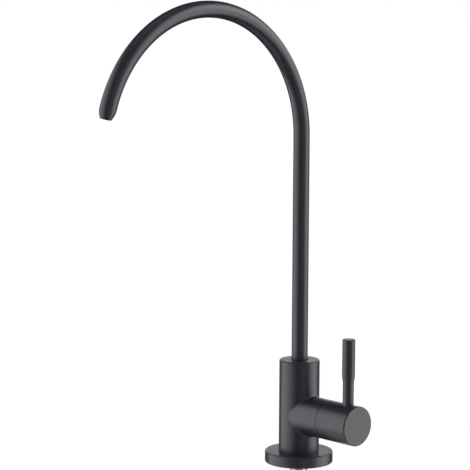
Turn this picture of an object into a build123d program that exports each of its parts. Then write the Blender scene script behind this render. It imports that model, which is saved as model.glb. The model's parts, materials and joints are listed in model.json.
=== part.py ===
from build123d import *
import math
import os

# Drinking water filter tap: a gooseneck spout that swivels on a turned barrel, with a
# quarter-turn ceramic disc valve in a side branch, worked by a hub and a lever.
# The origin is the centre of the worktop's surface under the base plate. +Z points up,
# the spout points along -Y and the side branch along +X. The valve is closed at rest.

# Driving sizes in millimetres
body_radius = 12.5
branch_radius = 12.2
branch_height = 30.5
branch_projection = 13.5
body_rise = 21.9
base_radius = 21.1
base_thickness = 7.1
hub_length = 24.25
lever_length = 41.0
tube_radius = 5.0
tube_wall = 1.0
arch_radius = 78.3
arch_height = 203.4
shank_radius = 5.556
shank_length = 56.0
worktop_thickness = 20.0
inlet_tube_radius = 3.175

# Angles in degrees
arch_sweep = 162
eighth_turn = 45
quarter_turn = 90
half_turn = 180
port_half_angle = 36

# Sides of a nut or a driver socket
hexagon_sides = 6

# Clearances and allowances shared by the sub-parts
running_clearance = 0.05
loose_clearance = 0.3
edge_break = 0.3
rim_bevel = 0.5
seam_bevel = 0.1
overrun = 1.0

# Places shared by the sub-parts
branch_end = body_radius + branch_projection
body_top = branch_height + branch_radius + body_rise
branch_frame = Pos(0, 0, branch_height) * Rot(0, quarter_turn, 0)
standing = (Align.CENTER, Align.CENTER, Align.MIN)
pieces = {}


def rod(radius, low, high):
    """A solid cylinder on the Z axis between two heights."""
    return Pos(0, 0, low) * Cylinder(radius, high - low, align=standing)


def ring(outer, inner, low, high):
    """A flat ring or sleeve on the Z axis between two heights."""
    return rod(outer, low, high) - rod(inner, low - overrun, high + overrun)


def turned(corners):
    """A lathe-turned solid from the corners of its half section, each a radius and a height."""
    outline = Polyline([(radius, 0, height) for radius, height in corners], close=True)
    return revolve(make_face(outline), Axis.Z)


def stud(radius, low, high, bevel):
    """A cylinder on the Z axis with both end edges bevelled."""
    return turned(
        [
            (0, low),
            (radius - bevel, low),
            (radius, low + bevel),
            (radius, high - bevel),
            (radius - bevel, high),
            (0, high),
        ]
    )


def hexagon(flat_radius, low, high):
    """A hexagonal prism on the Z axis, given half its width across flats."""
    outline = RegularPolygon(flat_radius, hexagon_sides, major_radius=False)
    return Pos(0, 0, low) * extrude(outline, high - low)


def hexagon_stud(flat_radius, low, high, bevel):
    """A hexagonal prism with its corners turned off at both ends."""
    corner_radius = flat_radius / math.cos(math.pi / hexagon_sides)
    return hexagon(flat_radius, low, high) & stud(corner_radius, low, high, bevel)


def o_ring(outer, inner, height):
    """A round-section ring that fills the space between two radii, centred on a height."""
    return Pos(0, 0, height) * Torus((outer + inner) / 2, (outer - inner) / 2)


def groove(outer, floor, middle, width):
    """The ring-shaped space to cut for a groove in the outside of a turned piece."""
    return ring(outer + overrun, floor, middle - width / 2, middle + width / 2)


def grub_screw(radius, length, point_length):
    """A headless screw from z = 0 up, with a hexagon socket on top and a dog point below."""
    driver_radius = radius / 2
    thread = stud(radius, 0, length, edge_break)
    point = rod(driver_radius, -point_length, edge_break)
    return thread + point - hexagon(driver_radius, length - radius, length + overrun)


def two_sectors(outer, inner, low, high):
    """Two opposite sectors of a ring, centred on the X axis."""
    reach = outer + overrun
    spread = reach * math.tan(math.radians(port_half_angle))
    bow = make_face(Polyline([(0, 0), (reach, -spread), (reach, spread)], close=True))
    wedge = Pos(0, 0, low) * extrude(bow, high - low)
    opposite = Rot(0, 0, half_turn) * wedge
    blank = ring(outer, inner, low, high)
    return (blank & wedge) + (blank & opposite)


# Threaded shank: a hollow stud screwed into the barrel, which passes through the worktop
shank_engagement = 10.0
shank_bore = 3.5
shank_bevel = 0.6
shank_top = base_thickness + shank_engagement

pieces["threaded_shank"] = turned(
    [
        (shank_bore, -shank_length),
        (shank_radius - shank_bevel, -shank_length),
        (shank_radius, shank_bevel - shank_length),
        (shank_radius, shank_top),
        (shank_bore, shank_top),
    ]
)

# Base plate, with a recess below for the gasket that seals it on the worktop
base_hole = shank_radius + loose_clearance
gasket_thickness = 2.0
gasket_rim = 3.1
gasket_radius = base_radius - gasket_rim
gasket_hole = base_hole + loose_clearance

base_blank = stud(base_radius, 0, base_thickness, rim_bevel)
shank_passage = rod(base_hole, -overrun, base_thickness + overrun)
gasket_recess = rod(gasket_radius, -overrun, gasket_thickness)
pieces["base_plate"] = base_blank - shank_passage - gasket_recess
pieces["base_gasket"] = ring(gasket_radius, gasket_hole, 0, gasket_thickness)

# Seal ring in the foot of the barrel, pressed on the base plate
foot_seal_land = 2.0
foot_seal_section = 1.8
foot_seal_inner = shank_radius + foot_seal_land
foot_seal_outer = foot_seal_inner + foot_seal_section
foot_seal_top = base_thickness + foot_seal_section
foot_seal_middle = base_thickness + foot_seal_section / 2

pieces["foot_seal_ring"] = o_ring(foot_seal_outer, foot_seal_inner, foot_seal_middle)

# Waterways and the valve chamber, measured from the axes of the barrel and of the branch
waterway_radius = 2.5
chamber_wall = 3.0
chamber_floor_wall = 1.5
socket_floor_wall = 5.3
chamber_radius = branch_radius - chamber_wall
chamber_floor = shank_bore + chamber_floor_wall
socket_floor = branch_height + chamber_radius + socket_floor_wall
inlet_top = branch_height + shank_bore
outlet_frame = Pos(waterway_radius / 2, 0, socket_floor) * Rot(0, quarter_turn + eighth_turn, 0)
outlet_run = (socket_floor_wall + 2 * waterway_radius) * math.sqrt(2)

# Spout adapter and its socket, with seal grooves and a retaining groove along the adapter
adapter_step = 0.95
adapter_wall = 2.0
seal_depth = 1.2
seal_width = 1.7
retaining_width = 2.4
lower_seal_share = 0.17
retaining_share = 0.46
upper_seal_share = 0.76
bush_length = 6.2
bush_recess = 0.1
bush_bevel = 0.15
spigot_length = 6.0
adapter_radius = tube_radius + adapter_step
adapter_bore = tube_radius - adapter_wall
seal_floor = adapter_radius - seal_depth
socket_radius = adapter_radius + running_clearance
bush_top = body_top - bush_recess
bush_bottom = bush_top - bush_length
adapter_bottom = socket_floor + loose_clearance
adapter_top = bush_bottom - loose_clearance
adapter_length = adapter_top - adapter_bottom
lower_seal_height = adapter_bottom + lower_seal_share * adapter_length
retaining_height = adapter_bottom + retaining_share * adapter_length
upper_seal_height = adapter_bottom + upper_seal_share * adapter_length

# Set screw through the back of the barrel, whose point runs in the adapter's groove
set_screw_radius = 2.0
set_screw_recess = 0.5
set_screw_length = body_radius - set_screw_recess - socket_radius
set_screw_point = running_clearance + seal_depth - loose_clearance
back_frame = Pos(0, 0, retaining_height) * Rot(-quarter_turn, 0, 0)

set_screw = grub_screw(set_screw_radius, set_screw_length, set_screw_point)
pieces["spout_set_screw"] = back_frame * Pos(0, 0, socket_radius) * set_screw

# Glide ring sunk into the end face of the branch, on which the hub turns
hub_gap = 0.15
glide_depth = 1.4
glide_inner_share = 0.27
glide_outer_share = 0.7
glide_inner = chamber_radius + glide_inner_share * chamber_wall
glide_outer = chamber_radius + glide_outer_share * chamber_wall
glide_floor = branch_end - glide_depth
hub_start = branch_end + hub_gap

glide_ring = ring(glide_outer, glide_inner, glide_floor, hub_start - running_clearance)
pieces["hub_glide_ring"] = branch_frame * glide_ring

# Barrel and branch, welded into one body, blended where they meet and then bored
weld_radius = 1.5
barrel = turned(
    [
        (0, base_thickness),
        (body_radius, base_thickness),
        (body_radius, body_top - rim_bevel),
        (body_radius - rim_bevel, body_top),
        (0, body_top),
    ]
)
branch = turned(
    [
        (0, 0),
        (branch_radius, 0),
        (branch_radius, branch_end - seam_bevel),
        (branch_radius - seam_bevel, branch_end),
        (0, branch_end),
    ]
)
barrel_cuts = [
    rod(shank_radius, base_thickness - overrun, shank_top),
    rod(shank_bore, shank_top - overrun, inlet_top),
    ring(foot_seal_outer, foot_seal_inner, base_thickness - overrun, foot_seal_top),
    rod(socket_radius, socket_floor, body_top + overrun),
    outlet_frame * rod(waterway_radius, -waterway_radius, outlet_run),
    back_frame * rod(set_screw_radius, 0, body_radius + overrun),
]
branch_cuts = [
    rod(waterway_radius, 0, chamber_floor + overrun),
    rod(chamber_radius, chamber_floor, branch_end + overrun),
    ring(glide_outer, glide_inner, glide_floor, branch_end + overrun),
]
welded = barrel + branch_frame * branch
weld_edges = [edge for edge in welded.edges() if edge.geom_type == GeomType.BSPLINE]
pieces["valve_body"] = fillet(weld_edges, weld_radius)
for cut in barrel_cuts + [branch_frame * cut for cut in branch_cuts]:
    pieces["valve_body"] -= cut

# Places along the branch's axis, from the valve chamber's floor outwards
seat_thickness = 3.0
disc_thickness = 2.5
foot_thickness = 2.0
thrust_thickness = 0.6
collar_thickness = 1.0
head_thickness = 3.5
neck_length = 2.5
circlip_thickness = 0.8
seat_end = chamber_floor + seat_thickness
fixed_disc_end = seat_end + disc_thickness
turning_disc_end = fixed_disc_end + disc_thickness
foot_end = turning_disc_end + foot_thickness
thrust_end = foot_end + thrust_thickness
collar_end = branch_end + collar_thickness
head_end = collar_end + head_thickness
neck_end = head_end + neck_length
circlip_start = neck_end + loose_clearance
circlip_end = circlip_start + circlip_thickness
cavity_floor = circlip_end + loose_clearance

# Cartridge housing: screwed into the branch, with two windows that let the water out
nose_gap = 1.4
nose_wall = 1.3
land_height = 0.7
land_width = 0.8
collar_step = 0.5
head_flat_radius = 8.5
head_bevel = 0.5
neck_wall = 2.2
spindle_radius = 3.9
window_half_width = 3.0
nose_radius = chamber_radius - nose_gap
disc_radius = nose_radius - nose_wall
housing_bore = spindle_radius + running_clearance
nose_start = chamber_floor + loose_clearance
land_end = thrust_end + land_width
housing_seal_end = land_end + nose_gap + loose_clearance
window = Box(
    2 * nose_radius + overrun,
    2 * window_half_width,
    foot_end - fixed_disc_end,
    align=standing,
)

housing = rod(nose_radius, nose_start, housing_seal_end)
housing += rod(nose_radius + land_height, thrust_end, land_end)
housing += rod(chamber_radius, housing_seal_end, branch_end)
housing += rod(chamber_radius + collar_step, branch_end, collar_end)
housing += hexagon_stud(head_flat_radius, collar_end, head_end, head_bevel)
housing += rod(housing_bore + neck_wall, head_end, neck_end)
housing -= rod(disc_radius, nose_start - overrun, thrust_end)
housing -= rod(housing_bore, thrust_end - overrun, neck_end + overrun)
housing -= Pos(0, 0, fixed_disc_end) * window
pieces["cartridge_housing"] = branch_frame * housing

housing_seal = o_ring(chamber_radius, nose_radius, (land_end + housing_seal_end) / 2)
pieces["cartridge_o_ring"] = branch_frame * housing_seal

# Seat seal and fixed ceramic disc, which the inlet water passes through
port_outer_share = 0.8
port_inner_share = 0.28
seat_bore_share = 0.85
port_outer = port_outer_share * disc_radius
port_inner = port_inner_share * disc_radius

fixed_disc = rod(disc_radius, seat_end, fixed_disc_end)
fixed_disc -= two_sectors(port_outer, port_inner, seat_end - overrun, fixed_disc_end + overrun)
seat_seal = ring(disc_radius, seat_bore_share * port_outer, chamber_floor, seat_end)
pieces["seat_seal"] = branch_frame * seat_seal
pieces["fixed_ceramic_disc"] = branch_frame * fixed_disc

# Turning ceramic disc: a quarter turn brings the notches in its face over the ports
notch_depth_share = 0.6
tongue_half_width = 1.5
tongue_height = 0.7
tongue_length_share = 0.75
turning_radius = disc_radius - running_clearance
notch_end = fixed_disc_end + notch_depth_share * disc_thickness
tongue_start = turning_disc_end - tongue_height
tongue_length = 2 * tongue_length_share * turning_radius
tongue = Pos(0, 0, tongue_start) * Box(
    2 * tongue_half_width, tongue_length, tongue_height, align=standing
)
notches = two_sectors(disc_radius + overrun, port_inner, fixed_disc_end - overrun, notch_end)

turning_disc = rod(turning_radius, fixed_disc_end, turning_disc_end)
turning_disc -= Rot(0, 0, quarter_turn) * notches
turning_disc -= tongue
pieces["turning_ceramic_disc"] = branch_frame * turning_disc

# Spindle: its tongue drives the turning disc, its splined end carries the hub
hub_end_wall = 3.65
spline_teeth = 20
spline_depth = 0.35
circlip_depth = 0.7
spindle_seal_depth = 1.0
spindle_seal_width = 1.4
seal_shares = [0.3, 0.6]
hub_end = hub_start + hub_length
spline_end = hub_end - hub_end_wall
circlip_bore = spindle_radius - circlip_depth
circlip_middle = (circlip_start + circlip_end) / 2
spindle_seal_floor = spindle_radius - spindle_seal_depth
spindle_seal_heights = [
    thrust_end + share * (head_end - thrust_end) for share in seal_shares
]
spline_corners = []
for tooth in range(2 * spline_teeth):
    tooth_radius = spindle_radius - spline_depth * (tooth % 2)
    tooth_angle = math.pi * tooth / spline_teeth
    spline_corners.append((tooth_radius * math.cos(tooth_angle), tooth_radius * math.sin(tooth_angle)))
spline_outline = make_face(Polyline(spline_corners, close=True))

spindle = rod(turning_radius, turning_disc_end, foot_end) + tongue
spindle += rod(spindle_radius, foot_end, cavity_floor)
spindle += Pos(0, 0, cavity_floor) * extrude(spline_outline, spline_end - cavity_floor)
spindle -= groove(spindle_radius, circlip_bore, circlip_middle, circlip_thickness)
for height in spindle_seal_heights:
    spindle -= groove(spindle_radius, spindle_seal_floor, height, spindle_seal_width)
pieces["valve_spindle"] = branch_frame * spindle

for place, height in zip(["inner", "outer"], spindle_seal_heights):
    spindle_seal = o_ring(spindle_radius, spindle_seal_floor, height)
    pieces[f"spindle_o_ring_{place}"] = branch_frame * spindle_seal

thrust_washer = ring(turning_radius, spindle_radius, foot_end, thrust_end - running_clearance)
pieces["spindle_thrust_washer"] = branch_frame * thrust_washer

# Circlip on the spindle: keeps it from being pushed in
circlip_width = 1.6
circlip_opening = 3.0
circlip_radius = spindle_radius + circlip_width
opening = Pos(-circlip_radius, 0, circlip_start - overrun) * Box(
    2 * circlip_radius, circlip_opening, circlip_thickness + 2 * overrun, align=standing
)
circlip = ring(circlip_radius, circlip_bore, circlip_start, circlip_end) - opening
pieces["spindle_circlip"] = branch_frame * circlip

# Lever: a rod with a thicker grip, screwed into the top of the hub
lever_setback = 8.3
lever_radius = 3.35
grip_radius = 3.9
grip_length = 23.2
grip_cone = 3.0
grip_bevel = 0.35
lever_thread_radius = 2.5
lever_thread_length = 6.3
lever_seat_depth = 0.7
lever_x = hub_end - lever_setback
lever_seat = branch_radius - lever_seat_depth
lever_frame = Pos(lever_x, 0, branch_height)
grip_start = lever_length - grip_length
cone_start = grip_start - grip_cone

lever = turned(
    [
        (0, -lever_thread_length),
        (lever_thread_radius, -lever_thread_length),
        (lever_thread_radius, 0),
        (lever_radius, 0),
        (lever_radius, cone_start),
        (grip_radius, grip_start),
        (grip_radius, lever_length - grip_bevel),
        (grip_radius - grip_bevel, lever_length),
        (0, lever_length),
    ]
)
pieces["lever"] = lever_frame * Pos(0, 0, lever_seat) * lever

# Grub screw under the hub: its point bears on the spindle
grub_radius = 2.0
grub_point = 0.8
grub_recess = 0.4
grub_start = spindle_radius + grub_point
grub_length = branch_radius - grub_recess - grub_start
under_frame = lever_frame * Rot(half_turn, 0, 0)

grub = grub_screw(grub_radius, grub_length, grub_point)
pieces["hub_grub_screw"] = under_frame * Pos(0, 0, grub_start) * grub

# Hub: hollow at the back over the cartridge's head, solid in front round the spline
hub_wall = 1.8
hub_bevel = 0.45
cavity_radius = branch_radius - hub_wall
hub = turned(
    [
        (0, hub_start),
        (branch_radius - seam_bevel, hub_start),
        (branch_radius, hub_start + seam_bevel),
        (branch_radius, hub_end - hub_bevel),
        (branch_radius - hub_bevel, hub_end),
        (0, hub_end),
    ]
)
hub -= rod(cavity_radius, hub_start - overrun, cavity_floor)
hub -= rod(spindle_radius, cavity_floor - overrun, spline_end)
hub = branch_frame * hub
hub -= lever_frame * rod(lever_radius, lever_seat, branch_radius + overrun)
hub -= lever_frame * rod(lever_thread_radius, lever_seat - lever_thread_length, branch_radius)
hub -= under_frame * rod(grub_radius, spindle_radius - overrun, branch_radius + overrun)
pieces["handle_hub"] = hub

# Spout tube: a riser, an arch and a short straight end drawn in to a nozzle
nozzle_run = 6.5
nozzle_taper = 6.2
nozzle_radius = 3.5
nozzle_bulge = 0.35
nozzle_land = 2.5
tube_bore = tube_radius - tube_wall
nozzle_bore = nozzle_radius - tube_wall
taper_start = nozzle_run - nozzle_taper
arch_axis = Axis((0, -arch_radius, arch_height), (1, 0, 0))
nozzle_frame = (
    Pos(0, -arch_radius, arch_height) * Rot(arch_sweep, 0, 0) * Pos(0, arch_radius, 0)
)


def bent_rod(radius):
    """The riser and the arch of the spout as a solid rod of this radius."""
    riser = rod(radius, adapter_top, arch_height)
    section = Pos(0, 0, arch_height) * Circle(radius)
    return riser + revolve(section, arch_axis, arch_sweep)


def nozzle_rod(radius, tip_radius, land, end):
    """The straight end and its drawn-in nozzle, with a rounded taper."""
    middle_radius = (radius + tip_radius) / 2 + nozzle_bulge
    middle_height = (taper_start + nozzle_run - land) / 2
    shoulder = (radius, 0, taper_start)
    tip = (tip_radius, 0, nozzle_run - land)
    half_section = [
        Polyline((0, 0, 0), (radius, 0, 0), shoulder),
        ThreePointArc(shoulder, (middle_radius, 0, middle_height), tip),
        Polyline(tip, (tip_radius, 0, end), (0, 0, end), (0, 0, 0)),
    ]
    return nozzle_frame * revolve(make_face(half_section), Axis.Z)


spout = bent_rod(tube_radius) + nozzle_rod(tube_radius, nozzle_radius, edge_break, nozzle_run)
spout -= bent_rod(tube_bore)
spout -= nozzle_rod(tube_bore, nozzle_bore, nozzle_land, nozzle_run + overrun)
pieces["spout_tube"] = spout

# Spout adapter: brazed into the tube's foot, with two seals and the retaining groove
adapter = rod(adapter_radius, adapter_bottom, adapter_top)
adapter += rod(tube_bore, adapter_top, adapter_top + spigot_length)
adapter -= rod(adapter_bore, adapter_bottom - overrun, adapter_top + spigot_length + overrun)
adapter -= groove(adapter_radius, seal_floor, lower_seal_height, seal_width)
adapter -= groove(adapter_radius, seal_floor, upper_seal_height, seal_width)
adapter -= groove(adapter_radius, seal_floor, retaining_height, retaining_width)
pieces["spout_adapter"] = adapter
pieces["spout_o_ring_lower"] = o_ring(adapter_radius, seal_floor, lower_seal_height)
pieces["spout_o_ring_upper"] = o_ring(adapter_radius, seal_floor, upper_seal_height)

# Glide bush between the tube and the barrel's mouth
pieces["spout_bush"] = turned(
    [
        (tube_radius + running_clearance, bush_bottom),
        (socket_radius, bush_bottom),
        (socket_radius, bush_top - bush_bevel),
        (socket_radius - bush_bevel, bush_top),
        (tube_radius + running_clearance, bush_top),
    ]
)

# Clamp under the worktop: rubber washer, steel washer and hexagon nut on the shank
clamp_radius = 12.5
clamp_hole = shank_radius + 2 * loose_clearance
rubber_thickness = 3.0
washer_thickness = 1.5
nut_flat_radius = 8.5
nut_thickness = 7.0
nut_bevel = 0.8
thread_entry = 0.5
rubber_bottom = -worktop_thickness - rubber_thickness
washer_bottom = rubber_bottom - washer_thickness
nut_bottom = washer_bottom - nut_thickness
nut_bore = shank_radius + running_clearance
nut_thread = turned(
    [
        (0, nut_bottom - overrun),
        (nut_bore + thread_entry, nut_bottom - overrun),
        (nut_bore + thread_entry, nut_bottom),
        (nut_bore, nut_bottom + thread_entry),
        (nut_bore, washer_bottom - thread_entry),
        (nut_bore + thread_entry, washer_bottom),
        (nut_bore + thread_entry, washer_bottom + overrun),
        (0, washer_bottom + overrun),
    ]
)

pieces["clamp_rubber_washer"] = ring(clamp_radius, clamp_hole, rubber_bottom, -worktop_thickness)
pieces["clamp_steel_washer"] = ring(clamp_radius, clamp_hole, washer_bottom, rubber_bottom)
nut = hexagon_stud(nut_flat_radius, nut_bottom, washer_bottom, nut_bevel)
pieces["mounting_nut"] = nut - nut_thread

# Push-fit connector, screwed on the shank's lower end, that takes the filter's tube
connector_engagement = 12.0
face_seal_thickness = 1.5
face_seal_wall = 2.0
stop_wall = 2.0
stop_step = 0.8
tube_grip_length = 6.5
tube_seal_section = 1.7
spacer_thickness = 1.0
collet_travel = 1.5
collet_head_length = 1.6
cone_length = 1.4
mouth_length = 3.6
collet_wall = 1.2
collet_head_step = 0.6
collet_flange_step = 1.9
collet_flange_thickness = 1.0
collet_slots = 4
collet_slot_width = 0.8
connector_wall = 3.2
connector_flat_radius = 9.5
connector_bevel = 0.8
tube_socket = inlet_tube_radius + running_clearance / 2
collet_bore = tube_socket + running_clearance
collet_radius = collet_bore + collet_wall
collet_head_radius = collet_radius + collet_head_step
mouth_radius = collet_radius + running_clearance
chamber_mouth_radius = collet_head_radius + running_clearance
tube_seal_radius = tube_socket + tube_seal_section
connector_top = connector_engagement - shank_length
face_seal_bottom = -shank_length - face_seal_thickness
tube_stop = face_seal_bottom - stop_wall
grip_bottom = tube_stop - tube_grip_length
tube_seal_bottom = grip_bottom - tube_seal_section
spacer_bottom = tube_seal_bottom - spacer_thickness
collet_top = spacer_bottom - collet_travel
head_bottom = collet_top - collet_head_length
cone_bottom = head_bottom - cone_length
connector_bottom = cone_bottom - mouth_length
flange_top = connector_bottom - collet_travel
collet_bottom = flange_top - collet_flange_thickness

connector_waterway = turned(
    [
        (0, connector_top + overrun),
        (shank_radius, connector_top + overrun),
        (shank_radius, face_seal_bottom),
        (tube_socket - stop_step, face_seal_bottom),
        (tube_socket - stop_step, tube_stop),
        (tube_socket, tube_stop),
        (tube_socket, grip_bottom),
        (tube_seal_radius, grip_bottom),
        (tube_seal_radius, tube_seal_bottom),
        (chamber_mouth_radius, tube_seal_bottom),
        (chamber_mouth_radius, head_bottom),
        (mouth_radius, cone_bottom),
        (mouth_radius, connector_bottom - overrun),
        (0, connector_bottom - overrun),
    ]
)
connector = hexagon_stud(connector_flat_radius, tube_stop, connector_top, connector_bevel)
connector += stud(tube_seal_radius + connector_wall, connector_bottom, tube_stop, connector_bevel)
pieces["connector_body"] = connector - connector_waterway
pieces["connector_face_seal"] = ring(
    shank_radius, shank_radius - face_seal_wall, face_seal_bottom, -shank_length
)
tube_seal_middle = grip_bottom - tube_seal_section / 2
pieces["connector_o_ring"] = o_ring(tube_seal_radius, tube_socket, tube_seal_middle)
pieces["connector_spacer"] = ring(
    chamber_mouth_radius, collet_bore, spacer_bottom, tube_seal_bottom
)

# Release collet: slotted fingers with a cone behind, pushed in to free the tube
collet = turned(
    [
        (collet_bore, collet_top),
        (collet_head_radius, collet_top),
        (collet_head_radius, head_bottom),
        (collet_radius, cone_bottom),
        (collet_radius, flange_top),
        (collet_radius + collet_flange_step, flange_top),
        (collet_radius + collet_flange_step, collet_bottom),
        (collet_bore, collet_bottom),
    ]
)
slot = Pos(0, 0, cone_bottom) * Box(
    collet_head_radius + overrun,
    collet_slot_width,
    collet_top - cone_bottom + overrun,
    align=(Align.MIN, Align.CENTER, Align.MIN),
)
for count in range(collet_slots):
    collet -= Rot(0, 0, count * 2 * half_turn / collet_slots) * slot
pieces["connector_collet"] = collet

# One file for each piece
os.makedirs("parts", exist_ok=True)
for name, shape in pieces.items():
    export_step(shape, f"parts/{name}.step")
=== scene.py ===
# %% [markdown]
# # A gooseneck drinking water tap, dressed for a studio picture
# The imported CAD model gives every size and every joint, and it stays as it is. This script
# adds what a picture needs on top of it: finishes made from nodes, two pieces in finer mesh
# work, a pale floor, studio light, and a camera that stands where the photographer stood.
# Everything is in metres, with the worktop's surface at z = 0.

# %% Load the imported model
import json
import math

import bmesh
import bpy
from mathutils import Matrix, Vector


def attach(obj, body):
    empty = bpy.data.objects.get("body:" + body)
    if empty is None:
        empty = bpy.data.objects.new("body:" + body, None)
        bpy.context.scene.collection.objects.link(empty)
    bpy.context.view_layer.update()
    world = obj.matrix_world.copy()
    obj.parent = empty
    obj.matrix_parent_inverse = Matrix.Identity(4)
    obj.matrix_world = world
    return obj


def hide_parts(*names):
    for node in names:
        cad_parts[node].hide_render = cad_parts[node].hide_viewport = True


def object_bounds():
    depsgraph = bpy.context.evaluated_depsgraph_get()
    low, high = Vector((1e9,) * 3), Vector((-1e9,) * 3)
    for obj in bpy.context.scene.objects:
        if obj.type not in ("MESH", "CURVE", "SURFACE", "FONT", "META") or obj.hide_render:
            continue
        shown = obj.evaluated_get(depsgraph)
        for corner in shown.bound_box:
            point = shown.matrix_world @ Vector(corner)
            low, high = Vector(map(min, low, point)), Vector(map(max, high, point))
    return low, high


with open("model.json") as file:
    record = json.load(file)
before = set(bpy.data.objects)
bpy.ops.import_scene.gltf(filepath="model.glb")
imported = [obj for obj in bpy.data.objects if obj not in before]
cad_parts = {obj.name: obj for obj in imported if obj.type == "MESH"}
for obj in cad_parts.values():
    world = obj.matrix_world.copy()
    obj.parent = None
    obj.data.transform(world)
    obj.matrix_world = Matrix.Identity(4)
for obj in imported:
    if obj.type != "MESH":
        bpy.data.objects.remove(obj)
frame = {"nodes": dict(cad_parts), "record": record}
cad_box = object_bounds()
scene = bpy.context.scene
MM = 0.001
print("CAD box in mm:", [[round(side / MM, 1) for side in corner] for corner in cad_box])

# %% [markdown]
# ## Colours
# Blender's shaders work in linear light, but a colour from a paint card or a swatch is an
# sRGB hex value. Typing linear numbers by eye is the usual source of washed-out materials,
# so one function does the conversion and each finish is written as the hex value that a
# designer would read off.


# %% From sRGB hex to linear
def linear(hex_value):
    """A linear RGBA colour from an sRGB value such as '2b2b2e'."""
    channels = [int(hex_value[i : i + 2], 16) / 255 for i in (0, 2, 4)]
    curved = [c / 12.92 if c <= 0.04045 else ((c + 0.055) / 1.055) ** 2.4 for c in channels]
    return (*curved, 1.0)


print("Mid grey 808080 in linear light:", [round(c, 3) for c in linear("808080")])

# %% [markdown]
# ## Node graphs in code
# A material is a graph: coordinates feed patterns, patterns feed colour, gloss and bump, and
# these feed one shader. Each node could be made in three or four lines, which hides the idea
# behind the bookkeeping. One helper makes a node, sets its properties, and writes or links
# its inputs, so that a finish below reads as a short list of steps.


# %% One helper that adds a node
def add_node(tree, kind, inputs=(), **settings):
    """Adds a node: settings are its properties, inputs are values or the sockets to link."""
    made = tree.nodes.new(kind)
    for name, value in settings.items():
        setattr(made, name, value)
    for key, value in dict(inputs).items():
        if isinstance(value, bpy.types.NodeSocket):
            tree.links.new(value, made.inputs[key])
        else:
            made.inputs[key].default_value = value
    return made


def new_material(name):
    """An empty material, with its tree and the object's own coordinates in metres."""
    material = bpy.data.materials.new(name)
    material.use_nodes = True
    material.node_tree.nodes.clear()
    place = add_node(material.node_tree, "ShaderNodeTexCoord").outputs["Object"]
    return material, material.node_tree, place


# %% [markdown]
# ## Satin black powder coat
# The base plate, the barrel, the hub, the lever and the spout are stainless steel under a
# polyester powder, sprayed dry and baked. The powder melts into a film of less than a tenth
# of a millimetre, which levels out but not quite: it keeps a faint ripple, called orange
# peel, with waves of one to two millimetres, and it runs softly over every edge.
# A black dielectric with a middling roughness gives the broad, soft highlights. The ripple
# is a noise bump at its real wavelength, a finer noise gives the sandy tooth of the cured
# powder, and a large slow noise lets tint and gloss drift by a few percent. The Bevel node
# rounds the look of the edges, by more than the film is thick, because the steel under it is
# tumbled before it is coated.

# %% Powder coat values
peel_wave = 1.6 * MM
peel_depth = 0.05 * MM
tooth_size = 0.35 * MM  # real grains are 0.03 to 0.08 mm, drawn coarser so that they show
tooth_depth = 0.01 * MM
drift_size = 14 * MM
film_round = 0.4 * MM
print("Ripple waves in mm:", round(peel_wave / MM, 2), "edges:", round(film_round / MM, 2))


# %% Satin black powder coat
def satin_black_powder_coat():
    material, tree, place = new_material("satin_black_powder_coat")
    drift = add_node(
        tree,
        "ShaderNodeTexNoise",
        {"Vector": place, "Scale": 1 / drift_size, "Detail": 2.0, "Roughness": 0.5},
    )
    tint = add_node(
        tree,
        "ShaderNodeMix",
        {0: drift.outputs["Fac"], 6: linear("23212b"), 7: linear("292734")},
        data_type="RGBA",
    )
    gloss = add_node(
        tree,
        "ShaderNodeMapRange",
        {"Value": drift.outputs["Fac"], "To Min": 0.34, "To Max": 0.40},
    )
    soft_edge = add_node(tree, "ShaderNodeBevel", {"Radius": film_round}, samples=6)
    peel = add_node(
        tree,
        "ShaderNodeTexNoise",
        {"Vector": place, "Scale": 1 / peel_wave, "Detail": 2.0, "Roughness": 0.5},
    )
    ripple = add_node(
        tree,
        "ShaderNodeBump",
        {
            "Height": peel.outputs["Fac"],
            "Strength": 0.25,
            "Distance": peel_depth,
            "Normal": soft_edge.outputs["Normal"],
        },
    )
    tooth = add_node(
        tree,
        "ShaderNodeTexNoise",
        {"Vector": place, "Scale": 1 / tooth_size, "Detail": 1.0},
    )
    grain = add_node(
        tree,
        "ShaderNodeBump",
        {
            "Height": tooth.outputs["Fac"],
            "Strength": 0.15,
            "Distance": tooth_depth,
            "Normal": ripple.outputs["Normal"],
        },
    )
    coat = add_node(
        tree,
        "ShaderNodeBsdfPrincipled",
        {
            "Base Color": tint.outputs[2],
            "Roughness": gloss.outputs["Result"],
            "IOR": 1.55,
            "Normal": grain.outputs["Normal"],
        },
    )
    add_node(tree, "ShaderNodeOutputMaterial", {"Surface": coat.outputs[0]})
    return material


black_coat = satin_black_powder_coat()
print("Made:", black_coat.name, "with", len(black_coat.node_tree.nodes), "nodes")

# %% [markdown]
# ## Turned metal
# The shank, the screws, the clamp nut, the adapter, the spindle and the cartridge housing
# come off a lathe. The tool leaves fine grooves: round a cylinder they lie at a constant
# height along its axis, and on an end face at a constant radius. Height plus radius is
# therefore one number that is constant along every groove, and a noise of that single number
# draws the marks on all faces of a turned piece at once.
# Pieces turned about another axis, such as the branch's or a screw's, need their coordinates
# centred and turned first, which is a Mapping node's work.

# %% Turning marks as one number
feed_per_turn = 0.12 * MM
drawn_feed = 3 * feed_per_turn  # the real marks are too fine for the picture
mark_depth = 0.02 * MM
branch_height = 30.5 * MM
set_screw_height = 51.14 * MM
lever_place = 42.1 * MM
upright = {"Location": (0, 0, 0), "Rotation": (0, 0, 0)}
along_branch = {"Location": (branch_height, 0, 0), "Rotation": (0, math.radians(-90), 0)}
through_back = {"Location": (0, set_screw_height, 0), "Rotation": (math.radians(90), 0, 0)}
under_hub = {"Location": (-lever_place, 0, 0), "Rotation": (0, 0, 0)}
print("Tool marks are drawn every", round(drawn_feed / MM, 2), "mm")


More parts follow.
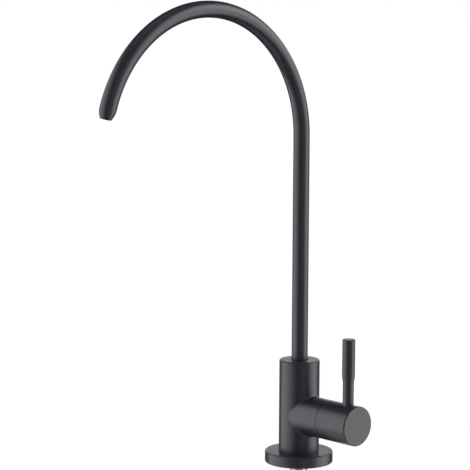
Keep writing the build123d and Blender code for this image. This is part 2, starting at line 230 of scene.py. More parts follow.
def turning_marks(tree, place, axis):
    """A noise that is constant along each tool mark of a piece turned about this axis."""
    turned = add_node(tree, "ShaderNodeMapping", {"Vector": place, **axis})
    split = add_node(tree, "ShaderNodeSeparateXYZ", {"Vector": turned.outputs["Vector"]})
    across = {"X": split.outputs["X"], "Y": split.outputs["Y"]}
    flat = add_node(tree, "ShaderNodeCombineXYZ", across)
    radius = add_node(tree, "ShaderNodeVectorMath", {0: flat.outputs["Vector"]}, operation="LENGTH")
    run = add_node(
        tree,
        "ShaderNodeMath",
        {0: radius.outputs["Value"], 1: split.outputs["Z"]},
        operation="ADD",
    )
    marks = add_node(
        tree,
        "ShaderNodeTexNoise",
        {"W": run.outputs["Value"], "Scale": 1 / drawn_feed, "Detail": 3.0, "Roughness": 0.6},
        noise_dimensions="1D",
    )
    return marks.outputs["Fac"]


# %% [markdown]
# ## Turned stainless steel
# Austenitic stainless steel has a slightly warm grey. A turned surface is fairly bright, with
# its gloss stretched across the marks. The same marks drive bump and roughness, since a
# deeper groove scatters more. The shader is fully metallic, and as for any metal the default
# IOR stays.


# %% Turned stainless steel
def turned_stainless_steel(name, axis):
    material, tree, place = new_material(name)
    marks = turning_marks(tree, place, axis)
    tint = add_node(
        tree,
        "ShaderNodeMix",
        {0: marks, 6: linear("b9b8b6"), 7: linear("cfcecb")},
        data_type="RGBA",
    )
    gloss = add_node(tree, "ShaderNodeMapRange", {"Value": marks, "To Min": 0.22, "To Max": 0.38})
    relief = add_node(
        tree,
        "ShaderNodeBump",
        {"Height": marks, "Strength": 0.4, "Distance": mark_depth},
    )
    metal = add_node(
        tree,
        "ShaderNodeBsdfPrincipled",
        {
            "Base Color": tint.outputs[2],
            "Metallic": 1.0,
            "Roughness": gloss.outputs["Result"],
            "Normal": relief.outputs["Normal"],
        },
    )
    add_node(tree, "ShaderNodeOutputMaterial", {"Surface": metal.outputs[0]})
    return material


upright_steel = turned_stainless_steel("turned_stainless_steel_upright", upright)
branch_steel = turned_stainless_steel("turned_stainless_steel_on_the_branch", along_branch)
set_screw_steel = turned_stainless_steel("turned_stainless_steel_set_screw", through_back)
grub_screw_steel = turned_stainless_steel("turned_stainless_steel_grub_screw", under_hub)
print("Made:", upright_steel.name, branch_steel.name, set_screw_steel.name, grub_screw_steel.name)

# %% [markdown]
# ## Turned brass
# Free-cutting brass is the usual stock for valve parts and clamp nuts. It comes off the lathe
# brighter and more yellow than it stays, as air and hands dull it in soft patches within
# weeks. A slow noise mixes a fresh and a dulled yellow and raises the roughness where the
# film of oxide is, over the same turning marks as on the steel.


# %% Turned brass
dulled_patch = 6 * MM


def turned_brass(name, axis):
    material, tree, place = new_material(name)
    marks = turning_marks(tree, place, axis)
    film = add_node(
        tree,
        "ShaderNodeTexNoise",
        {"Vector": place, "Scale": 1 / dulled_patch, "Detail": 4.0, "Roughness": 0.6},
    )
    tint = add_node(
        tree,
        "ShaderNodeMix",
        {0: film.outputs["Fac"], 6: linear("cfae66"), 7: linear("b08d4c")},
        data_type="RGBA",
    )
    gloss = add_node(
        tree,
        "ShaderNodeMapRange",
        {"Value": film.outputs["Fac"], "To Min": 0.22, "To Max": 0.42},
    )
    relief = add_node(
        tree,
        "ShaderNodeBump",
        {"Height": marks, "Strength": 0.4, "Distance": mark_depth},
    )
    metal = add_node(
        tree,
        "ShaderNodeBsdfPrincipled",
        {
            "Base Color": tint.outputs[2],
            "Metallic": 1.0,
            "Roughness": gloss.outputs["Result"],
            "Normal": relief.outputs["Normal"],
        },
    )
    add_node(tree, "ShaderNodeOutputMaterial", {"Surface": metal.outputs[0]})
    return material


upright_brass = turned_brass("turned_brass_upright", upright)
branch_brass = turned_brass("turned_brass_on_the_branch", along_branch)
print("Made:", upright_brass.name, "and", branch_brass.name)

# %% [markdown]
# ## Tumbled stainless steel
# The clamp washer is punched from sheet and tumbled with ceramic stones until it has no sharp
# edges. Tumbling leaves no direction at all, only a fine random dulling with a few small
# dents, so the pattern is a plain noise with a Voronoi texture for the dents.


# %% Tumbled stainless steel
dulling_size = 0.6 * MM  # a real scratch is under 0.1 mm, drawn coarser so that it shows
dent_spacing = 1.8 * MM
dent_depth = 0.03 * MM


def tumbled_stainless_steel():
    material, tree, place = new_material("tumbled_stainless_steel")
    dulling = add_node(
        tree,
        "ShaderNodeTexNoise",
        {"Vector": place, "Scale": 1 / dulling_size, "Detail": 4.0, "Roughness": 0.65},
    )
    dents = add_node(
        tree,
        "ShaderNodeTexVoronoi",
        {"Vector": place, "Scale": 1 / dent_spacing},
        feature="SMOOTH_F1",
    )
    tint = add_node(
        tree,
        "ShaderNodeMix",
        {0: dulling.outputs["Fac"], 6: linear("aeadab"), 7: linear("c6c5c2")},
        data_type="RGBA",
    )
    gloss = add_node(
        tree,
        "ShaderNodeMapRange",
        {"Value": dulling.outputs["Fac"], "To Min": 0.34, "To Max": 0.50},
    )
    relief = add_node(
        tree,
        "ShaderNodeBump",
        {"Height": dents.outputs["Distance"], "Strength": 0.3, "Distance": dent_depth},
    )
    metal = add_node(
        tree,
        "ShaderNodeBsdfPrincipled",
        {
            "Base Color": tint.outputs[2],
            "Metallic": 1.0,
            "Roughness": gloss.outputs["Result"],
            "Normal": relief.outputs["Normal"],
        },
    )
    add_node(tree, "ShaderNodeOutputMaterial", {"Surface": metal.outputs[0]})
    return material


tumbled_steel = tumbled_stainless_steel()
print("Made:", tumbled_steel.name)

# %% [markdown]
# ## Nitrile rubber
# Seals, gaskets and the clamp's soft washer are moulded nitrile rubber, black from the carbon
# in it. It leaves the mould dull, with a fine bloom of wax that makes it look dusty grey in
# places. A rough dielectric with a cloudy tint shows that.


# %% Moulded nitrile rubber
bloom_cloud = 3.5 * MM
rubber_grain = 0.3 * MM  # a real mould's is under 0.1 mm, drawn coarser so that it shows
rubber_grain_depth = 0.02 * MM


def moulded_nitrile_rubber():
    material, tree, place = new_material("moulded_nitrile_rubber")
    bloom = add_node(
        tree,
        "ShaderNodeTexNoise",
        {"Vector": place, "Scale": 1 / bloom_cloud, "Detail": 5.0, "Roughness": 0.6},
    )
    tint = add_node(
        tree,
        "ShaderNodeMix",
        {0: bloom.outputs["Fac"], 6: linear("19191a"), 7: linear("2b2b2b")},
        data_type="RGBA",
    )
    skin = add_node(
        tree,
        "ShaderNodeTexNoise",
        {"Vector": place, "Scale": 1 / rubber_grain, "Detail": 2.0},
    )
    relief = add_node(
        tree,
        "ShaderNodeBump",
        {"Height": skin.outputs["Fac"], "Strength": 0.3, "Distance": rubber_grain_depth},
    )
    gloss = add_node(
        tree,
        "ShaderNodeMapRange",
        {"Value": bloom.outputs["Fac"], "To Min": 0.55, "To Max": 0.75},
    )
    rubber = add_node(
        tree,
        "ShaderNodeBsdfPrincipled",
        {
            "Base Color": tint.outputs[2],
            "Roughness": gloss.outputs["Result"],
            "IOR": 1.52,
            "Normal": relief.outputs["Normal"],
        },
    )
    add_node(tree, "ShaderNodeOutputMaterial", {"Surface": rubber.outputs[0]})
    return material


rubber_black = moulded_nitrile_rubber()
print("Made:", rubber_black.name)

# %% [markdown]
# ## Lapped alumina
# The two valve discs are sintered aluminium oxide, ground and then lapped flat with diamond
# paste. The ceramic is ivory white, lets a little light in, and shines like porcelain on the
# lapped face. A fine speckle of grains keeps it from looking like paint.


# %% Lapped alumina
ceramic_grain = 0.25 * MM  # real grains are about 0.01 mm, drawn coarser so that they show
ceramic_light_reach = (0.8 * MM, 0.7 * MM, 0.6 * MM)


def lapped_alumina():
    material, tree, place = new_material("lapped_alumina")
    grains = add_node(
        tree,
        "ShaderNodeTexVoronoi",
        {"Vector": place, "Scale": 1 / ceramic_grain},
    )
    tint = add_node(
        tree,
        "ShaderNodeMix",
        {0: grains.outputs["Distance"], 6: linear("efece2"), 7: linear("e2ddcf")},
        data_type="RGBA",
    )
    gloss = add_node(
        tree,
        "ShaderNodeMapRange",
        {"Value": grains.outputs["Distance"], "To Min": 0.12, "To Max": 0.25},
    )
    ceramic = add_node(
        tree,
        "ShaderNodeBsdfPrincipled",
        {
            "Base Color": tint.outputs[2],
            "Roughness": gloss.outputs["Result"],
            "IOR": 1.76,
            "Subsurface Weight": 0.1,
            "Subsurface Radius": ceramic_light_reach,
        },
    )
    add_node(tree, "ShaderNodeOutputMaterial", {"Surface": ceramic.outputs[0]})
    return material


alumina = lapped_alumina()
print("Made:", alumina.name)

# %% [markdown]
# ## Moulded acetal
# The glide rings, the push-fit connector and its collet are injection-moulded acetal, the
# slippery, waxy plastic that food-grade fittings are made of. The mould is spark-eroded, which
# leaves a fine even grain, and slow cooling leaves faint flow clouds. One recipe makes the
# three colours, since only the pigment differs.


# %% Moulded acetal in three colours
flow_cloud = 5 * MM
spark_grain = 0.25 * MM  # a real mould's is 0.02 to 0.05 mm, drawn coarser so that it shows
spark_grain_depth = 0.015 * MM
acetal_light_reach = (1.0 * MM, 1.0 * MM, 1.0 * MM)


def moulded_acetal(name, deep, pale):
    material, tree, place = new_material(name)
    flow = add_node(
        tree,
        "ShaderNodeTexNoise",
        {"Vector": place, "Scale": 1 / flow_cloud, "Detail": 3.0, "Distortion": 0.8},
    )
    tint = add_node(
        tree,
        "ShaderNodeMix",
        {0: flow.outputs["Fac"], 6: linear(deep), 7: linear(pale)},
        data_type="RGBA",
    )
    spark = add_node(
        tree,
        "ShaderNodeTexNoise",
        {"Vector": place, "Scale": 1 / spark_grain, "Detail": 2.0},
    )
    relief = add_node(
        tree,
        "ShaderNodeBump",
        {"Height": spark.outputs["Fac"], "Strength": 0.25, "Distance": spark_grain_depth},
    )
    gloss = add_node(
        tree,
        "ShaderNodeMapRange",
        {"Value": flow.outputs["Fac"], "To Min": 0.32, "To Max": 0.44},
    )
    plastic = add_node(
        tree,
        "ShaderNodeBsdfPrincipled",
        {
            "Base Color": tint.outputs[2],
            "Roughness": gloss.outputs["Result"],
            "IOR": 1.48,
            "Subsurface Weight": 0.15,
            "Subsurface Radius": acetal_light_reach,
            "Normal": relief.outputs["Normal"],
        },
    )
    add_node(tree, "ShaderNodeOutputMaterial", {"Surface": plastic.outputs[0]})
    return material


black_acetal = moulded_acetal("moulded_black_acetal", "151516", "1f1f20")
white_acetal = moulded_acetal("moulded_white_acetal", "dcdcd6", "e9e9e4")
blue_acetal = moulded_acetal("moulded_blue_acetal", "1c4287", "2a5aa6")
print("Made:", black_acetal.name, white_acetal.name, blue_acetal.name)

# %% [markdown]
# ## Finishes on the CAD nodes
# The record already names a material slot for every node. Most slots have one finish, so a
# table from slot to material dresses them all. The exceptions are pieces turned about another
# axis than the barrel's, and the washer, which is punched and not turned.

# %% Dress the CAD nodes
slot_finish = {
    "black_coat": black_coat,
    "stainless_steel": upright_steel,
    "turned_brass": upright_brass,
    "black_rubber": rubber_black,
    "ceramic_disc": alumina,
    "black_acetal": black_acetal,
    "white_acetal": white_acetal,
    "blue_acetal": blue_acetal,
}
own_finish = {
    "cartridge_housing": branch_brass,
    "valve_spindle": branch_brass,
    "spindle_circlip": branch_steel,
    "spout_set_screw": set_screw_steel,
    "hub_grub_screw": grub_screw_steel,
    "clamp_steel_washer": tumbled_steel,
}
for part in frame["record"]["subparts"]:
    finish = own_finish.get(part["node"], slot_finish[part["material_slot"]])
    skin = frame["nodes"][part["node"]].data.materials
    skin.clear()
    skin.append(finish)

# %% [markdown]
# ## From a bmesh to a piece
# A bmesh is a mesh under construction. When it is done, vertices that lie within two
# thousandths of a millimetre are merged, because a cut or a bevel that ends on an older edge
# leaves slivers of no width there. It then becomes an object at the origin with its place in
# its vertices, as the CAD nodes have it. Smooth shading everywhere would smear light over the
# real edges, so edges steeper than a limit stay sharp.

# %% Finish a piece
sliver_width = 0.002 * MM
sharp_angle = math.radians(35)


def finish_piece(name, mesh_work, material, body, node):
    """Turns a bmesh into a named piece that rides on a body and stands for a CAD node."""
    bmesh.ops.remove_doubles(mesh_work, verts=mesh_work.verts, dist=sliver_width)
    data = bpy.data.meshes.new(name)
    mesh_work.to_mesh(data)
    mesh_work.free()
    data.shade_smooth()
    data.set_sharp_from_angle(angle=sharp_angle)
    data.materials.append(material)
    piece = bpy.data.objects.new(name, data)
    scene.collection.objects.link(piece)
    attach(piece, body)
    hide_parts(node)
    triangles = sum(len(face.vertices) - 2 for face in data.polygons)
    corners = [[round(v.co[i] / MM, 2) for v in data.vertices] for i in range(3)]
    print(name, "triangles:", triangles, "box in mm:", [(min(c), max(c)) for c in corners])


# %% [markdown]
# ## The gooseneck spout
# The spout is one stainless tube of 10 mm with a 1 mm wall. It stands as a riser, is bent
# round a former into an arch of 162 degrees, and its end is swaged: pushed into a tapering
# die, which draws the rim in from 10 mm to 7 mm over 6 mm and leaves it rounded.
# A curve with a bevel would give the tube in one step, but not the swaged end. Here one ring
# of vertices makes the same journey as the metal: it is extruded up the riser, spun round
# the former's axis, and then extruded and shrunk through the die in small steps.

# %% Ring, riser and arch
tube_radius = 5.0 * MM
tube_wall = 1.0 * MM
riser_foot = 58.0 * MM
arch_height = 203.4 * MM
arch_radius = 78.3 * MM
arch_sweep = math.radians(162)
ring_points = 64
riser_steps = 12
arch_steps = 108

tube = bmesh.new()
bmesh.ops.create_circle(tube, segments=ring_points, radius=tube_radius)
bmesh.ops.translate(tube, verts=tube.verts, vec=(0, 0, riser_foot))
rim = list(tube.edges)
for step in range(riser_steps):
    grown = bmesh.ops.extrude_edge_only(tube, edges=rim)["geom"]
    rim = [item for item in grown if isinstance(item, bmesh.types.BMEdge)]
    verts = [item for item in grown if isinstance(item, bmesh.types.BMVert)]
    bmesh.ops.translate(tube, verts=verts, vec=(0, 0, (arch_height - riser_foot) / riser_steps))
former = Vector((0, -arch_radius, arch_height))
bent = bmesh.ops.spin(
    tube,
    geom=rim,
    cent=former,
    axis=(1, 0, 0),
    dvec=(0, 0, 0),
    angle=arch_sweep,
    steps=arch_steps,
)
rim = [item for item in bent["geom_last"] if isinstance(item, bmesh.types.BMEdge)]
rim_verts = dict.fromkeys(v for e in rim for v in e.verts)
rim_middle = sum((v.co for v in rim_verts), Vector()) / ring_points
print("Arch ends at, in mm:", [round(c / MM, 2) for c in rim_middle], "open edges:", len(rim))

# %% [markdown]
# ### The swaged nozzle
# The die's profile is an arc from the full radius to the tip, with a slight belly, because
# metal doesn't fold sharply when it is pushed in. The arc is sampled by a parabola through its
# two ends and its belly, which at this size is the same line to a hundredth of a millimetre.

# %% Swage the end
nozzle_run = 6.5 * MM
taper_start = 0.3 * MM
tip_radius = 3.5 * MM
belly = 0.35 * MM
tip_land = 0.3 * MM
swage_steps = 12

outward = Vector((0, -math.sin(arch_sweep), math.cos(arch_sweep)))
face_on = outward.to_track_quat("Z", "Y").to_matrix().to_4x4()
taper_length = nozzle_run - tip_land - taper_start
stations = [(taper_start, tube_radius)]
for step in range(1, swage_steps + 1):
    share = step / swage_steps
    bulge = 4 * belly * share * (1 - share)
    radius = tube_radius + (tip_radius - tube_radius) * share + bulge
    stations.append((taper_start + share * taper_length, radius))
stations.append((nozzle_run, tip_radius))
reached, radius_now = 0.0, tube_radius
for run, radius in stations:
    grown = bmesh.ops.extrude_edge_only(tube, edges=rim)["geom"]
    rim = [item for item in grown if isinstance(item, bmesh.types.BMEdge)]
    verts = [item for item in grown if isinstance(item, bmesh.types.BMVert)]
    bmesh.ops.translate(tube, verts=verts, vec=outward * (run - reached))
    centre = Matrix.Translation(rim_middle + outward * run) @ face_on
    shrink = radius / radius_now
    bmesh.ops.scale(tube, verts=verts, vec=(shrink, shrink, 1), space=centre.inverted())
    reached, radius_now = run, radius
print("Nozzle tip radius in mm:", round(radius_now / MM, 2), "after", round(reached / MM, 2))

# %% [markdown]
# ### The wall
# So far the tube is a skin without thickness. Solidify grows the wall inwards, which needs
# all faces to point outwards first. The cut tip is then rounded with a small bevel on its
# two circles, as the swaging die leaves it.

# %% Wall and rounded tip
tip_round = 0.3 * MM
tip_depth = 0.2 * MM
same_radius = 0.02 * MM
corner_lean = 0.7  # the cosine between two faces, which is smaller at a real corner

bmesh.ops.remove_doubles(tube, verts=tube.verts, dist=sliver_width)
bmesh.ops.recalc_face_normals(tube, faces=tube.faces)
bmesh.ops.solidify(tube, geom=tube.faces[:], thickness=tube_wall)
tip_middle = rim_middle + outward * nozzle_run
tip_edges = []
for edge in tube.edges:
    arms = [v.co - tip_middle for v in edge.verts]
    in_plane = all(abs(arm.dot(outward)) < tip_depth for arm in arms)
    along_rim = abs(arms[0].length - arms[1].length) < same_radius
    if in_plane and along_rim and len(edge.link_faces) == 2:
        lean = edge.link_faces[0].normal.dot(edge.link_faces[1].normal)
        if lean < corner_lean:
            tip_edges.append(edge)
bmesh.ops.bevel(
    tube,
    geom=tip_edges,
    offset=tip_round,
    affect="EDGES",
    segments=3,
    profile=0.5,
    material=-1,
)
print("Tip edges rounded:", len(tip_edges))
finish_piece("gooseneck_spout", tube, black_coat, "spout", "spout_tube")

# %% [markdown]
# ## The threaded shank
# The shank is a hollow stainless stud, 7/16 inch across with 24 threads to the inch, rolled or
# cut over its whole length. In the CAD model the thread is a plain cylinder at its outer
# radius. A bump map could fake the grooves, but not their zigzag outline against the light,
# so the thread is real mesh here.
# A screw thread is a spin that climbs. The outline of one tooth, five points from root to root,
# goes round the axis once and rises by one pitch. A single spin over all the turns would also
# work, but its time grows with the square of its steps. So the one turn is duplicated and
# stacked, merging the doubles closes the helix, and it is then cut flat at both ends.

# %% One tooth and a climbing spin
inch = 25.4 * MM
threads_per_inch = 24
pitch = inch / threads_per_inch
crest_radius = 5.556 * MM
root_radius = crest_radius - 0.6134 * pitch  # the depth of a unified inch thread
shank_low = -56.0 * MM
shank_high = 17.1 * MM
crest_flat = pitch / 8
root_flat = pitch / 4
turn_steps = 72
spare_turns = 2  # they reach past both ends, and the cuts take them off again
turns = math.ceil((shank_high - shank_low) / pitch) + spare_turns
tooth_start = shank_low - 1.5 * pitch

shank = bmesh.new()
tooth = [
    shank.verts.new((radius, 0, tooth_start + height))
    for radius, height in (
        (root_radius, 0),
        (root_radius, root_flat),
        (crest_radius, (pitch + root_flat - crest_flat) / 2),
        (crest_radius, (pitch + root_flat + crest_flat) / 2),
        (root_radius, pitch),
    )
]
for low, high in zip(tooth, tooth[1:]):
    shank.edges.new((low, high))
bmesh.ops.spin(
    shank,
    geom=shank.verts[:] + shank.edges[:],
    cent=(0, 0, 0),
    axis=(0, 0, 1),
    dvec=(0, 0, pitch / turn_steps),
    angle=2 * math.pi,
    steps=turn_steps,
)
one_turn = shank.verts[:] + shank.edges[:] + shank.faces[:]
for turn in range(1, turns):
    copied = bmesh.ops.duplicate(shank, geom=one_turn)["geom"]
    verts = [item for item in copied if isinstance(item, bmesh.types.BMVert)]
    bmesh.ops.translate(shank, verts=verts, vec=(0, 0, turn * pitch))
bmesh.ops.remove_doubles(shank, verts=shank.verts, dist=sliver_width)
for height, keep in ((shank_low, "below"), (shank_high, "above")):
    bmesh.ops.bisect_plane(
        shank,
        geom=shank.verts[:] + shank.edges[:] + shank.faces[:],
        plane_co=(0, 0, height),
        plane_no=(0, 0, 1),
        clear_inner=keep == "below",
        clear_outer=keep == "above",
    )
print("Turns:", turns, "faces in the thread:", len(shank.faces))

# %% [markdown]
# ### Chamfer, bore and ends
# A nut only starts on a thread whose first turn is chamfered, so the vertices near the lower
# end are drawn in to a cone. The bore is a second, smooth ring of faces, and the two flat ends
# are bridges between the outer and the inner edge loops.

# %% Chamfer, bore and ends
chamfer = 0.6 * MM
bore_radius = 3.5 * MM
bore_points = 72
flat_slack = 0.001 * MM

for vert in shank.verts:
    reach = Vector((vert.co.x, vert.co.y, 0)).length
    limit = crest_radius - chamfer + (vert.co.z - shank_low)
    if reach > limit:
        vert.co.x *= limit / reach
        vert.co.y *= limit / reach
outer_ends = {}
for height in (shank_low, shank_high):
    outer_ends[height] = [
        edge
        for edge in shank.edges
        if len(edge.link_faces) == 1
        and all(abs(v.co.z - height) < flat_slack for v in edge.verts)
    ]
inner = bmesh.ops.create_circle(shank, segments=bore_points, radius=bore_radius)["verts"]
bmesh.ops.translate(shank, verts=inner, vec=(0, 0, shank_low))
inner_low = list(dict.fromkeys(edge for vert in inner for edge in vert.link_edges))
grown = bmesh.ops.extrude_edge_only(shank, edges=inner_low)["geom"]
inner_high = [item for item in grown if isinstance(item, bmesh.types.BMEdge)]
raised = [item for item in grown if isinstance(item, bmesh.types.BMVert)]
bmesh.ops.translate(shank, verts=raised, vec=(0, 0, shank_high - shank_low))
bmesh.ops.bridge_loops(shank, edges=outer_ends[shank_low] + inner_low)
bmesh.ops.bridge_loops(shank, edges=outer_ends[shank_high] + inner_high)
bmesh.ops.recalc_face_normals(shank, faces=shank.faces)
open_edges = sum(1 for edge in shank.edges if len(edge.link_faces) != 2)
print("Open edges left in the shank:", open_edges)
finish_piece(
    "threaded_stud",
    shank,
    upright_steel,
    "root",
    "threaded_shank",
)

# %% [markdown]
# ## Camera
# The photograph was taken with a long lens, from a little above and from the side between the
# spout and the lever. A camera fitted to its outlines gives a place 1.3 m away, a direction
# and a focal length in pixels. Blender wants a focal length in millimetres on a 36 mm sensor,
# which is the same ratio to the picture's width.

# %% Camera at the photograph's place
photo_side = 470
photo_focal_px = 2058.91
camera_place = Vector((0.891043, -0.886268, 0.311153))
camera_aim = Vector((-0.724807, 0.675931, -0.133308))
camera_roll = math.radians(0.273)

lens = bpy.data.cameras.new("photo_camera")
lens.sensor_width = 36
lens.lens = photo_focal_px * lens.sensor_width / photo_side
camera = bpy.data.objects.new("photo_camera", lens)
roll = Matrix.Rotation(camera_roll, 4, "Z")
facing = camera_aim.to_track_quat("-Z", "Y").to_matrix().to_4x4() @ roll
camera.matrix_world = Matrix.Translation(camera_place) @ facing
scene.collection.objects.link(camera)
scene.camera = camera
print("Lens in mm:", round(lens.lens, 1), "distance in m:", round(camera_place.length, 2))

# %% [markdown]
# ## Floor
# A plain pale disc stands under the tap's lowest piece, centred between the barrel and the
# nozzle. A huge plane would do as well, but would show its horizon when the camera is low. The
# inset ring spares the renderer one great polygon that reaches from rim to rim.

# %% Pale floor
floor_radius = 150 * MM
floor_points = 96
floor_middle = Vector((0, -60 * MM, cad_box[0].z))

disc = bmesh.new()
bmesh.ops.create_circle(disc, cap_ends=True, segments=floor_points, radius=floor_radius)
bmesh.ops.inset_region(disc, faces=disc.faces[:], thickness=floor_radius / 3)
bmesh.ops.translate(disc, verts=disc.verts, vec=floor_middle)
floor_data = bpy.data.meshes.new("pale_floor")
disc.to_mesh(floor_data)
disc.free()
floor = bpy.data.objects.new("pale_floor", floor_data)
scene.collection.objects.link(floor)
print("Floor radius in mm:", floor_radius / MM, "height in mm:", round(cad_box[0].z / MM, 1))

# %% [markdown]
# ### Paint and glow
# A real white sweep looks pure white in a catalogue picture because it is overexposed. Turning
# the lamps up would do the same here, but would bleach the tap as well. The pale matt paint
# shines by itself instead, only for rays that come from the camera, a mirror-like surface or
# glass. Its glow is weaker near the middle, where the tap's shadow has to stay on it, and full
# at the rim, which so melts into the white background.

# %% The floor's paint and glow
glow_at_middle = 0.7
shadow_radius = 0.4 * floor_radius
speckle_size = 2 * MM

floor_paint, tree, place = new_material("pale_matt_paint")
away = add_node(tree, "ShaderNodeVectorMath", {0: place, 1: floor_middle}, operation="DISTANCE")
glow_share = add_node(
    tree,
    "ShaderNodeMapRange",
    {
        "Value": away.outputs["Value"],
        "From Min": shadow_radius,
        "From Max": floor_radius,
        "To Min": glow_at_middle,
        "To Max": 1.0,
    },
    interpolation_type="SMOOTHSTEP",
)
speckle = add_node(
    tree,
    "ShaderNodeTexNoise",
    {"Vector": place, "Scale": 1 / speckle_size, "Detail": 3.0},
)
paint = add_node(
    tree,
    "ShaderNodeMix",
    {0: speckle.outputs["Fac"], 6: linear("e4e4e3"), 7: linear("e8e8e7")},
    data_type="RGBA",
)
matt = add_node(tree, "ShaderNodeBsdfDiffuse", {"Color": paint.outputs[2]})
rays = add_node(tree, "ShaderNodeLightPath")
seen = add_node(
    tree,
    "ShaderNodeMath",
    {0: rays.outputs["Is Camera Ray"], 1: rays.outputs["Is Glossy Ray"]},
    operation="MAXIMUM",
)
seen_or_through = add_node(
    tree,
    "ShaderNodeMath",
    {0: seen.outputs[0], 1: rays.outputs["Is Transmission Ray"]},
    operation="MAXIMUM",
)
share = add_node(
    tree,
    "ShaderNodeMath",
    {0: seen_or_through.outputs[0], 1: glow_share.outputs["Result"]},
    operation="MULTIPLY",
)
white = add_node(tree, "ShaderNodeEmission", {"Strength": 1.0})
both = add_node(
    tree,
    "ShaderNodeMixShader",
    {0: share.outputs[0], 1: matt.outputs[0], 2: white.outputs[0]},
)
add_node(tree, "ShaderNodeOutputMaterial", {"Surface": both.outputs[0]})
floor_data.materials.append(floor_paint)
print("Floor paint:", floor_paint.name, "with", len(tree.nodes), "nodes")

# %% [markdown]
# ## Studio light
# The long soft bands on the black tube are reflections of two large softboxes, one to the left
# and one to the right of the camera, with a dark gap between them. The bright backdrop low
# behind the tap shows in every face that looks up, and a weak lamp overhead fills in the rest.
# Lamps in the scene would do, but they would also be seen, and cast their own outlines, when
# the camera goes round. Here the world itself is the studio: each softbox is a patch of sky,
# given by its span of compass directions and heights, with soft edges.
# First every direction is split into a bearing, counted from the camera's side towards its
# right, and a height over the horizon.

# %% Bearing and height of a direction
world = bpy.data.worlds.new("studio")
scene.world = world
world.use_nodes = True
tree = world.node_tree
tree.nodes.clear()
direction = add_node(tree, "ShaderNodeTexCoord").outputs["Generated"]
to_camera = Vector((camera_place.x, camera_place.y, 0)).normalized()
to_right = Vector((-to_camera.y, to_camera.x, 0))
near = add_node(tree, "ShaderNodeVectorMath", {0: direction, 1: to_camera}, operation="DOT_PRODUCT")
right = add_node(tree, "ShaderNodeVectorMath", {0: direction, 1: to_right}, operation="DOT_PRODUCT")
bearing = add_node(
    tree,
    "ShaderNodeMath",
    {0: right.outputs["Value"], 1: near.outputs["Value"]},
    operation="ARCTAN2",
).outputs[0]
turned_away = add_node(tree, "ShaderNodeMath", {0: bearing}, operation="ABSOLUTE").outputs[0]
rise = add_node(tree, "ShaderNodeSeparateXYZ", {0: direction}).outputs["Z"]
height = add_node(tree, "ShaderNodeMath", {0: rise}, operation="ARCSINE").outputs[0]
print("Bearing 0 points along", [round(c, 2) for c in to_camera])


def patch(angle, start, full, fade, end):
    """One between full and fade, nothing before start and after end, smooth in between."""
    opening = add_node(
        tree,
        "ShaderNodeMapRange",
        {"Value": angle, "From Min": math.radians(start), "From Max": math.radians(full)},
        interpolation_type="SMOOTHSTEP",
    )
    closing = add_node(
        tree,
        "ShaderNodeMapRange",
        {
            "Value": angle,
            "From Min": math.radians(fade),
            "From Max": math.radians(end),
            "To Min": 1.0,
            "To Max": 0.0,
        },
        interpolation_type="SMOOTHSTEP",
    )
    overlap = add_node(
        tree,
        "ShaderNodeMath",
        {0: opening.outputs[0], 1: closing.outputs[0]},
        operation="MULTIPLY",
    )
    return overlap.outputs[0]


# %% [markdown]
# ### Softboxes and backdrop
# Each patch is a span in bearing times a span in height, in degrees, with a strength. The
# strengths are set so that a white card at the tap would render just below white, which keeps
# colours as they are written. The weak patch between the softboxes stands for the light that
# the room throws back, and the one above the right softbox for its raised upper edge, which
# the arch shows.

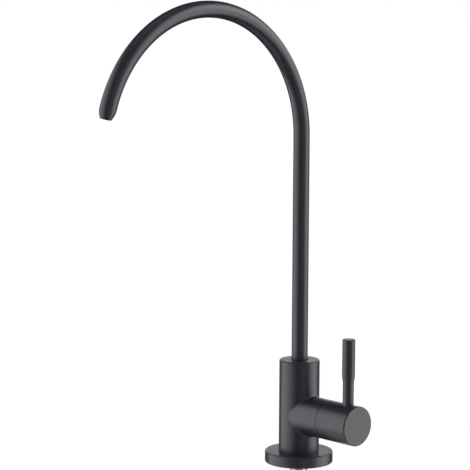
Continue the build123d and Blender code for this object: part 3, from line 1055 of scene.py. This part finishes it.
# %% Softboxes and backdrop
box_heights = patch(height, -48, -36, 36, 47)
upper_heights = patch(height, -2, 12, 34, 48)
backdrop_heights = patch(height, 0, 5, 14, 21)
backdrop = patch(turned_away, 125, 150, 190, 200)
overhead = patch(height, 58, 74, 90, 91)
overhead_level = 0.5
room_level = 0.05
patches = (
    (patch(bearing, -130, -112, -82, -12), box_heights, 2.05),  # softbox on the left
    (patch(bearing, 52, 74, 108, 124), box_heights, 2.35),  # softbox on the right
    (patch(bearing, -4, 10, 30, 50), box_heights, 0.4),  # light thrown back by the room
    (patch(bearing, 74, 90, 122, 140), upper_heights, 1.5),  # upper edge of the right softbox
    (backdrop, backdrop_heights, 1.7),  # bright backdrop
)
strength = add_node(
    tree,
    "ShaderNodeMath",
    {0: overhead, 1: overhead_level, 2: room_level},
    operation="MULTIPLY_ADD",
).outputs[0]
for across, up, level in patches:
    area = add_node(tree, "ShaderNodeMath", {0: across, 1: up}, operation="MULTIPLY")
    strength = add_node(
        tree,
        "ShaderNodeMath",
        {0: area.outputs[0], 1: level, 2: strength},
        operation="MULTIPLY_ADD",
    ).outputs[0]
print("Sky patches:", len(patches))

# %% [markdown]
# ### White background
# The picture's background is pure white only for rays that come straight from the camera, so
# it adds no light. Reflections and views through glass get at least that white as well, in
# the part of the sky where the backdrop hangs. The dark gap between the softboxes, which the
# satin coat needs, stays dark.

# %% White for the camera, and for mirrors where the backdrop hangs
rays = add_node(tree, "ShaderNodeLightPath")
mirrored = add_node(
    tree,
    "ShaderNodeMath",
    {0: rays.outputs["Is Glossy Ray"], 1: rays.outputs["Is Transmission Ray"]},
    operation="MAXIMUM",
)
hung = add_node(tree, "ShaderNodeMath", {0: backdrop, 1: backdrop_heights}, operation="MULTIPLY")
behind = add_node(
    tree,
    "ShaderNodeMath",
    {0: mirrored.outputs[0], 1: hung.outputs[0]},
    operation="MULTIPLY",
)
at_least_white = add_node(
    tree,
    "ShaderNodeMath",
    {0: strength, 1: behind.outputs[0]},
    operation="MAXIMUM",
)
studio = add_node(
    tree,
    "ShaderNodeBackground",
    {"Color": (1, 1, 1, 1), "Strength": at_least_white.outputs[0]},
)
white = add_node(tree, "ShaderNodeBackground", {"Color": (1, 1, 1, 1), "Strength": 1.0})
mixed = add_node(
    tree,
    "ShaderNodeMixShader",
    {0: rays.outputs["Is Camera Ray"], 1: studio.outputs[0], 2: white.outputs[0]},
)
add_node(tree, "ShaderNodeOutputWorld", {"Surface": mixed.outputs[0]})
scene.view_settings.view_transform = "Standard"
print("View transform:", scene.view_settings.view_transform)

# %% [markdown]
# ## Hidden CAD nodes
# The dressed tap is meant to keep the CAD model's size. The CAD nodes under the two finer pieces
# stay hidden, and their names are printed.

print("Pieces hidden under finer ones: spout_tube and threaded_shank")
